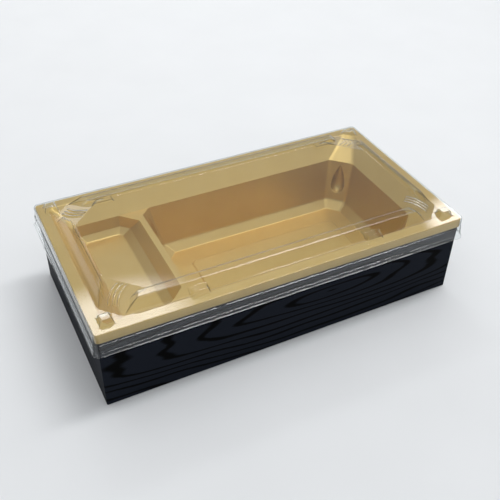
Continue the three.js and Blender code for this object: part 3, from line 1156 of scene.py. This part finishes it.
    def press_dent(self, tray: MouldedSheet, corner: Corner) -> None:
        """Press a drop-shaped dent into a corner of the main compartment.

        Args:
            tray: The surface to press.
            corner: The corner.
        """
        mouth, wall = self.main_plans[:2]
        top, bottom = (plan.cut_middle(corner) for plan in (mouth, wall))
        tip_height = self.rim_top - self.dent_top
        tip, foot = (
            top.lerp(bottom, (mouth.height - height) / (mouth.height - wall.height))
            for height in (tip_height, tip_height - self.dent_length)
        )
        along = (tip - foot).normalized()
        middle = tip.lerp(foot, 0.5)
        flat = min(
            (face for face in tray.mesh.faces if face.calc_area() > self.dent_flat),
            key=lambda face: (face.calc_center_median() - middle).length,
        )
        half = self.dent_half_width if corner[0] > 0 else self.dent_half_width_west
        length = (tip - foot).length
        handles = (0, 0), (half * self.dent_belly, 0), (half * self.dent_neck, length / 2), (0, length)
        drop = interpolate_bezier(*(Vector(handle) for handle in handles), self.dent_steps)
        aside = along.cross(flat.normal)
        shoulder = self.dent_shoulder, self.dent_shoulder_drop
        tray.press(flat, [TurnedForm(foot, along, aside, drop, self.dent_steps, *shoulder)])

    def build(self) -> Object:
        """Shape the tray and dress it.

        Returns:
            The tray.
        """
        tray = MouldedSheet()
        foot = self.shape_rim(tray)
        side, main = self.part_mouths(tray, foot)
        tray.sink(side, [plan.corners() for plan in self.side_plans])
        tray.sink(main, [plan.corners() for plan in self.main_plans])
        tray.face_outwards(self.main_floor)
        self.round_off(tray)
        for corner in CORNERS:
            self.press_dent(tray, corner)
        tray.face_outwards(self.main_floor)
        for face in tray.mesh.faces:
            face.smooth = True
        piece = finish_piece(
            "gold_tray", tray.mesh, self.finish, Body.TRAY, "inner_tray", self.sheet
        )
        piece.modifiers.new("flat_faces", "WEIGHTED_NORMAL")
        return piece


# Clear lid


@dataclass
class ClearLid:
    """The moulded lid: a skirt with a lip, a flange, and a dome whose ridge goes round a lower panel.

    Its roundings are smooth and its flat faces stay flat, so that they don't bend the view through them.
    """

    SAME_WAY: ClassVar[float] = 0.9999
    SHARP: ClassVar[float] = math.radians(25)

    sheet: float = 0.4
    rim_inset: float = 3.2
    # The lip's height above the lid's foot, each fold of the skirt as how far it moves in and its height
    # above the foot, and how far the skirt moves in from there to the flange
    lip_height: float = 0.3
    folds: tuple[tuple[float, float], ...] = ((0.4, 0.45), (0.6, 2.2), (0.27, 2.3), (0.3, 8.0), (0.4, 8.15))
    skirt_flare: float = 0.3
    rim_corner: float = 2.0
    dome_height: float = 6.6
    dome_foot: float = 8.5
    dome_run: float = 5.0
    dome_cut: float = 12.0
    # The ridge's outer and inner bevels, which catch the lamps as thin lines
    shoulder_run: float = 0.8
    shoulder_drop: float = 0.29
    brink_run: float = 0.9
    brink_drop: float = 0.13
    ridge_top: float = 4.5
    end_ridge_top: float = 1.6
    panel_drop: float = 1.7
    panel_run: float = 1.9
    end_panel_run: float = 2.4
    panel_cut: float = 21.0
    # How far from the corner the ridge begins to fall to the corner's ramp
    ridge_end: float = 5.0
    flute_count: int = 3
    flute_pitch: float = 3.0
    flute_radius: float = 1.0
    flute_bulge: float = 2.0
    flute_foot_gap: float = 3.5
    flute_head_gap: float = 1.0
    flute_steps: int = 6
    flute_bends: int = 12
    block_lean: float = 1.2
    block_rise: float = 3.8
    boss_length: float = 9.2
    boss_width: float = 8.6
    boss_inset: float = 4.5
    lug_inset: float = 4.5
    lug_reach: float = 8.0
    lug_length: float = 12.0
    lug_offset: float = 62.0
    pad_rise: float = 1.2
    pad_reach: float = 5.0
    pad_length: float = 16.0
    pad_offset: float = 88.0
    pad_gap: float = 0.3
    corner_rounding: float = 1.1
    edge_rounding: float = 0.75
    block_rounding: float = 0.9
    # How far in from the flange's edge the skirt's own edges are looked for
    skirt_margin: float = 1.0
    finish: ClearSheet = field(default_factory=ClearSheet)

    def __post_init__(self) -> None:
        """Take the lid's outer sizes from its CAD node and work out the plans at each height."""
        low, high = box_mm("clear_lid")
        self.half_length = high.x
        self.half_width = high.y
        self.foot = low.z
        self.ridge = high.z
        self.flange = self.ridge - self.dome_height
        self.panel = self.ridge - self.panel_drop
        radius = self.rim_corner + self.rim_inset
        size = self.half_length, self.half_width
        skirt = [Plan.centred(*size, self.foot + self.lip_height, rounding_cut(radius))]
        for move, height in (*self.folds, (self.skirt_flare, self.flange - self.foot)):
            radius -= move
            cut = rounding_cut(radius)
            skirt.append(skirt[-1].shrunk(move, self.foot + height, cut, cut))
        edge = skirt[-1]
        inset = edge.half_width - self.half_width + self.rim_inset + self.dome_foot
        cuts = self.dome_cut, self.dome_cut
        dome = edge.shrunk(inset, self.flange, *cuts)
        shoulder = dome.shrunk(self.dome_run - self.shoulder_run, self.ridge - self.shoulder_drop, *cuts)
        ridge = dome.shrunk(self.dome_run, self.ridge, *cuts)
        crest = Plan.centred(
            ridge.east - self.end_ridge_top, ridge.half_width - self.ridge_top, self.ridge, self.dome_cut
        )
        brink = crest.shrunk(self.brink_run, self.ridge - self.brink_drop, *cuts)
        self.skirt_plans = skirt
        self.dome_plan = dome
        self.ridge_plans = [shoulder, ridge, crest, brink]
        self.panel_plan = Plan.centred(
            crest.east - self.end_panel_run, crest.half_width - self.panel_run, self.panel, self.panel_cut
        )

    def outline(self, plan: Plan, corner_height: float | None = None) -> list[Vector]:
        """Give a plan's corners and, beside each of them, the point where the ridge ends.

        Args:
            plan: The plan to follow.
            corner_height: The height of the plan's own corners, where that differs.

        Returns:
            Sixteen points.
        """
        corners = plan.corners()
        points = []
        for start, end in zip(corners[0::2], corners[1::2]):
            step = (end - start).normalized() * self.ridge_end
            between = start + step, end - step
            if corner_height is not None:
                start.z = end.z = corner_height
            points += [start, *between, end]
        return points

    def outlines(self) -> list[list[Vector]]:
        """Give the outlines of the whole lid.

        Returns:
            The outlines, from the lip up to the panel.
        """
        dome, panel = self.dome_plan, self.panel_plan
        foot, *reaches, head = (
            plan.east + plan.half_width - plan.cut_east for plan in (dome, *self.ridge_plans, panel)
        )
        climb = (self.panel - self.flange) / (foot - head)
        on_ramp = [self.flange + climb * (foot - reach) for reach in reaches]
        return [
            *(self.outline(plan) for plan in (*self.skirt_plans, dome)),
            *(self.outline(*pair) for pair in zip(self.ridge_plans, on_ramp)),
            self.outline(panel),
        ]

    def join_corners(self, lid: MouldedSheet) -> None:
        """Join the flange's faces at each corner, and the faces of each ramp.

        Args:
            lid: The surface to simplify.
        """
        lid.mesh.normal_update()
        flange = [
            face
            for face in lid.mesh.faces
            if is_flat_at(face, self.flange)
            and max(abs(corner.co.x) for corner in face.verts) > self.half_length / 2
            and face.calc_area() < self.half_width * self.dome_foot / 2
        ]
        bmesh.ops.dissolve_faces(lid.mesh, faces=flange)
        for corner in CORNERS:
            bmesh.ops.dissolve_faces(lid.mesh, faces=self.faces_on_ramp(lid, *self.ramp(corner)))

    def ramp(self, corner: Corner) -> tuple[Vector, Vector, Vector]:
        """Find a corner's ramp.

        Args:
            corner: The corner.

        Returns:
            The middle of the ramp's foot, the middle of its head and the way that it faces.
        """
        foot, head = (plan.cut_middle(corner) for plan in (self.dome_plan, self.panel_plan))
        facing = (head - foot).cross(Vector((corner[0], -corner[1], 0))).normalized()
        return foot, head, facing * math.copysign(1, facing.z)

    def faces_on_ramp(self, lid: MouldedSheet, foot: Vector, head: Vector, facing: Vector) -> list[BMFace]:
        """Find the faces that lie on a ramp.

        Args:
            lid: The surface to search.
            foot: The middle of the ramp's foot.
            head: The middle of the ramp's head.
            facing: The way that the ramp faces.

        Returns:
            The faces, the largest first.
        """
        middle = foot.lerp(head, 0.5)
        reach = (head - foot).length
        found = [
            face
            for face in lid.mesh.faces
            if face.normal.dot(facing) > self.SAME_WAY and (face.calc_center_median() - middle).length < reach
        ]
        return sorted(found, key=lambda face: -face.calc_area())

    def blocks(self) -> list[Block]:
        """Give the blocks that stand up from the sheet, alike on both sides of the lid's middle.

        Returns:
            The bosses at the corners, the lugs on the front flange, against the dome, and the low pads on the
            panel, against the rear ridge.
        """
        outer_x = self.half_length - self.rim_inset - self.boss_inset
        outer_y = self.half_width - self.rim_inset - self.boss_inset
        boss = outer_x - self.boss_length, outer_x
        lug, pad = (
            (offset - length / 2, offset + length / 2)
            for offset, length in ((self.lug_offset, self.lug_length), (self.pad_offset, self.pad_length))
        )
        front = self.lug_inset + self.rim_inset - self.half_width
        rear = self.panel_plan.half_width
        on_flange = self.flange, self.flange + self.block_rise
        on_panel = self.panel, self.panel + self.pad_rise
        rows = (
            (boss, -outer_y, self.boss_width - outer_y, on_flange),
            (boss, outer_y - self.boss_width, outer_y, on_flange),
            (lug, front, front + self.lug_reach, on_flange),
            (pad, rear - self.pad_reach, rear + self.panel_run - self.pad_gap, on_panel),
        )
        return [
            Block(*ends, south, north, *heights, self.block_lean)
            for (near, far), south, north, heights in rows
            for ends in ((-far, -near), (near, far))
        ]

    def press_flutes(self, lid: MouldedSheet, corner: Corner) -> None:
        """Press the bent flutes into a corner's ramp.

        Args:
            lid: The surface to press.
            corner: The corner.
        """
        foot, head, facing = self.ramp(corner)
        along = (head - foot).normalized()
        length = (head - foot).length - self.flute_foot_gap - self.flute_head_gap
        lid.mesh.normal_update()
        flat = self.faces_on_ramp(lid, foot, head, facing)[0]
        aside = facing.cross(along)
        start = foot + along * self.flute_foot_gap
        first = (1 - self.flute_count) / 2
        places = [(first + index) * self.flute_pitch for index in range(self.flute_count)]
        profile = self.flute_profile(length)

        def bulge(up: float) -> float:
            """Give how far a flute is bent aside at a height: a parabola with its top halfway."""
            share = up / length
            return math.prod(corner) * 4 * self.flute_bulge * share * (1 - share)

        flutes = [
            TurnedForm(start + aside * place, along, aside, profile, self.flute_steps, sway=bulge)
            for place in places
        ]
        lid.press(flat, flutes)

    def flute_profile(self, length: float) -> list[Vector]:
        """Give half the outline of a straight flute with round ends.

        Args:
            length: The flute's length.

        Returns:
            The outline, from its foot up.
        """
        radius = self.flute_radius
        angles = [math.pi / 2 * step / self.flute_steps for step in range(self.flute_steps + 1)]
        foot = [Vector((radius * math.sin(angle), radius * (1 - math.cos(angle)))) for angle in angles]
        rise = (length - 2 * radius) / self.flute_bends
        shaft = [Vector((radius, radius + rise * step)) for step in range(1, self.flute_bends)]
        head = [Vector((point.x, length - point.y)) for point in reversed(foot)]
        return foot + shaft + head

    def round_off(self, lid: MouldedSheet, blocks: list[Block]) -> None:
        """Round the lid's edges.

        Args:
            lid: The surface to round.
            blocks: The bosses, the lugs and the pads. The pads stay sharp.
        """
        side = self.half_width - self.rim_inset - self.skirt_margin
        end = self.half_length - self.rim_inset - self.skirt_margin
        on_flange, on_ridge, on_panel = map(at_height, (self.flange, self.ridge, self.panel))

        def on_skirt(edge: BMEdge) -> bool:
            """Tell whether an edge is on the skirt."""
            middle = middle_of(edge)
            return abs(middle.y) > side or abs(middle.x) > end

        def on_block(edge: BMEdge) -> bool:
            """Tell whether an edge is on a boss, a lug or a pad."""
            return any(block.owns(edge) for block in blocks)

        def on_block_top(edge: BMEdge) -> bool:
            """Tell whether an edge is on a boss or a lug, above its foot."""
            above = middle_of(edge).z > self.flange + self.block_lean
            return above and any(block.foot == self.flange and block.owns(edge) for block in blocks)

        def on_dome(edge: BMEdge) -> bool:
            """Tell whether an edge runs along the ridge or round the panel, off the blocks."""
            along = on_ridge(edge) or on_panel(edge)
            return along and edge.calc_face_angle() > self.SHARP and not on_block(edge)

        def at_foot(edge: BMEdge) -> bool:
            """Tell whether an edge is at the dome's foot, off the blocks."""
            return on_flange(edge) and not on_skirt(edge) and not on_block(edge)

        few, more = lid.FEW_STRIPS, lid.MORE_STRIPS
        for chosen, offset, strips in (
            (lambda edge: on_skirt(edge) and not is_level(edge), self.corner_rounding, more),
            (on_block_top, self.block_rounding, more),
            (lambda edge: on_flange(edge) and on_skirt(edge), self.edge_rounding, few),
            (on_dome, self.edge_rounding, few),
            (at_foot, self.edge_rounding, few),
        ):
            lid.round_edges(chosen, offset, strips)

    def build(self) -> Object:
        """Shape the lid and dress it.

        Returns:
            The lid.
        """
        lid = MouldedSheet()
        outlines = self.outlines()
        lid.sink(lid.start(outlines[0]), outlines)
        lid.face_outwards(self.panel)
        self.join_corners(lid)
        blocks = self.blocks()
        for block in blocks:
            lid.raise_block(block)
        self.round_off(lid, blocks)
        for corner in CORNERS:
            self.press_flutes(lid, corner)
        lid.join_slivers()
        lid.face_outwards(self.panel)
        return finish_piece(
            "clear_cover", lid.mesh, self.finish, Body.LID, "clear_lid", self.sheet
        )


# Studio


@dataclass(frozen=True)
class Lamp:
    """A rectangular lamp: its place and size in millimetres and its power in watts."""

    name: str
    place: tuple[float, float, float]
    width: float
    height: float
    watts: float


@dataclass
class Studio:
    """A pale floor, soft lamps and the camera."""

    camera_place: tuple[float, float, float] = (-183.5, -360.1, 356.8)
    camera_target: tuple[float, float, float] = (17.8, 29.7, 0.0)
    camera_roll: float = math.radians(1.22)
    lens: float = 52.48
    nearest: float = 10.0
    floor_half: float = 3000.0
    floor_parts: int = 8
    sky: str = "#F4F5F6"
    # The sky is brightest overhead, as under a wide ceiling lamp, and plain and dimmer below this height
    dim_height: float = 0.6
    low_sky: float = 0.5
    high_sky: float = 1.25
    card: BackdropCard = field(default_factory=BackdropCard)
    lamp_aim: tuple[float, float, float] = (0.0, 0.0, 40.0)
    # The ceiling panel and the window shape the light. The rim panels make the front corners' bright spots
    lamps: tuple[Lamp, ...] = (
        Lamp("ceiling_panel", (560.0, 0.0, 1500.0), 340.0, 1240.0, 22.0),
        Lamp("rear_window", (200.0, 1500.0, 650.0), 3500.0, 680.0, 13.0),
        Lamp("left_rim_panel", (125.0, 990.0, 1097.0), 520.0, 220.0, 3.6),
        Lamp("right_rim_panel", (1010.0, 780.0, 915.0), 190.0, 140.0, 0.9),
    )
    # A lamp's middle, how far from it the lamp glows fully and how far it glows at all, as shares of its size
    lamp_middle: tuple[float, float, float] = (0.5, 0.5, 0.0)
    full_glow: float = 0.2
    no_glow: float = 0.5

    def set_camera(self) -> None:
        """Place the camera."""
        data = bpy.data.cameras.new("camera")
        data.lens = self.lens
        data.clip_start = self.nearest * MM
        camera = add_object("camera", data)
        place = Vector(self.camera_place) * MM
        ahead = (Vector(self.camera_target) * MM - place).normalized()
        level = ahead.cross(UP).normalized()
        lift = level.cross(ahead)
        right = level * math.cos(self.camera_roll) + lift * math.sin(self.camera_roll)
        above = right.cross(ahead)
        turn = Matrix((right, above, -ahead)).transposed()
        camera.matrix_world = Matrix.LocRotScale(place, turn, None)
        bpy.context.scene.camera = camera

    def lay_floor(self) -> None:
        """Lay the pale card that the box stands on."""
        mesh = bmesh.new()
        parts = self.floor_parts
        bmesh.ops.create_grid(mesh, x_segments=parts, y_segments=parts, size=self.floor_half * MM)
        floor = add_surface("floor_card", mesh, self.card)

    def hang(self, lamp: Lamp) -> None:
        """Hang a lamp so that it faces the box.

        Args:
            lamp: The lamp to hang.
        """
        data = bpy.data.lights.new(lamp.name, "AREA")
        data.shape = "RECTANGLE"
        data.size = lamp.width * MM
        data.size_y = lamp.height * MM
        data.energy = lamp.watts
        self.fade(data)
        hung = add_object(lamp.name, data)
        hung.visible_transmission = False
        place = Vector(lamp.place)
        hung.location = place * MM
        hung.rotation_mode = "QUATERNION"
        hung.rotation_quaternion = (Vector(self.lamp_aim) - place).to_track_quat("-Z", "Y")

    def fade(self, data: Light) -> None:
        """Let a lamp fade from its middle to its edges, as a softbox does.

        Args:
            data: The lamp's settings.
        """
        add = partial(add_node, empty_tree(data))
        place = add("ShaderNodeNewGeometry").outputs["Parametric"]
        ends = {0: place, 1: self.lamp_middle}
        from_middle = add("ShaderNodeVectorMath", ends, operation="DISTANCE").outputs["Value"]
        glow = add(
            "ShaderNodeMapRange",
            {"Value": from_middle, "From Min": self.no_glow, "From Max": self.full_glow},
            interpolation_type="SMOOTHSTEP",
        )
        shine = add("ShaderNodeEmission", {"Strength": glow})
        add("ShaderNodeOutputLight", {"Surface": shine})

    def light(self) -> None:
        """Hang the lamps and set the pale sky, which gives most of the light."""
        world = bpy.data.worlds.new("studio_sky")
        bpy.context.scene.world = world
        add = partial(add_node, empty_tree(world))
        direction = add("ShaderNodeTexCoord").outputs["Generated"]
        height = add("ShaderNodeSeparateXYZ", {"Vector": direction}).outputs["Z"]
        strength = add(
            "ShaderNodeMapRange",
            {"Value": height, "From Min": self.dim_height, "To Min": self.low_sky, "To Max": self.high_sky},
        )
        sky = add("ShaderNodeBackground", {"Color": linear(self.sky), "Strength": strength})
        add("ShaderNodeOutputWorld", {"Surface": sky})
        for lamp in self.lamps:
            self.hang(lamp)

    def build(self) -> None:
        """Set the whole stage."""
        self.set_camera()
        self.lay_floor()
        self.light()
        bpy.context.scene.view_settings.view_transform = "Standard"


def note_sizes() -> None:
    """Update the view layer."""
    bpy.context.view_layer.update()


def main() -> None:
    """Build the pieces in order and set the stage round them."""
    logging.basicConfig(level=logging.INFO)
    Studio().build()
    pieces = [*BoardBox().build(), InnerTray().build(), ClearLid().build()]
    for piece in pieces:
        LOG.info("%s: %d faces", piece.name, len(piece.data.polygons))
    note_sizes()


if __name__ == "__main__":
    main()
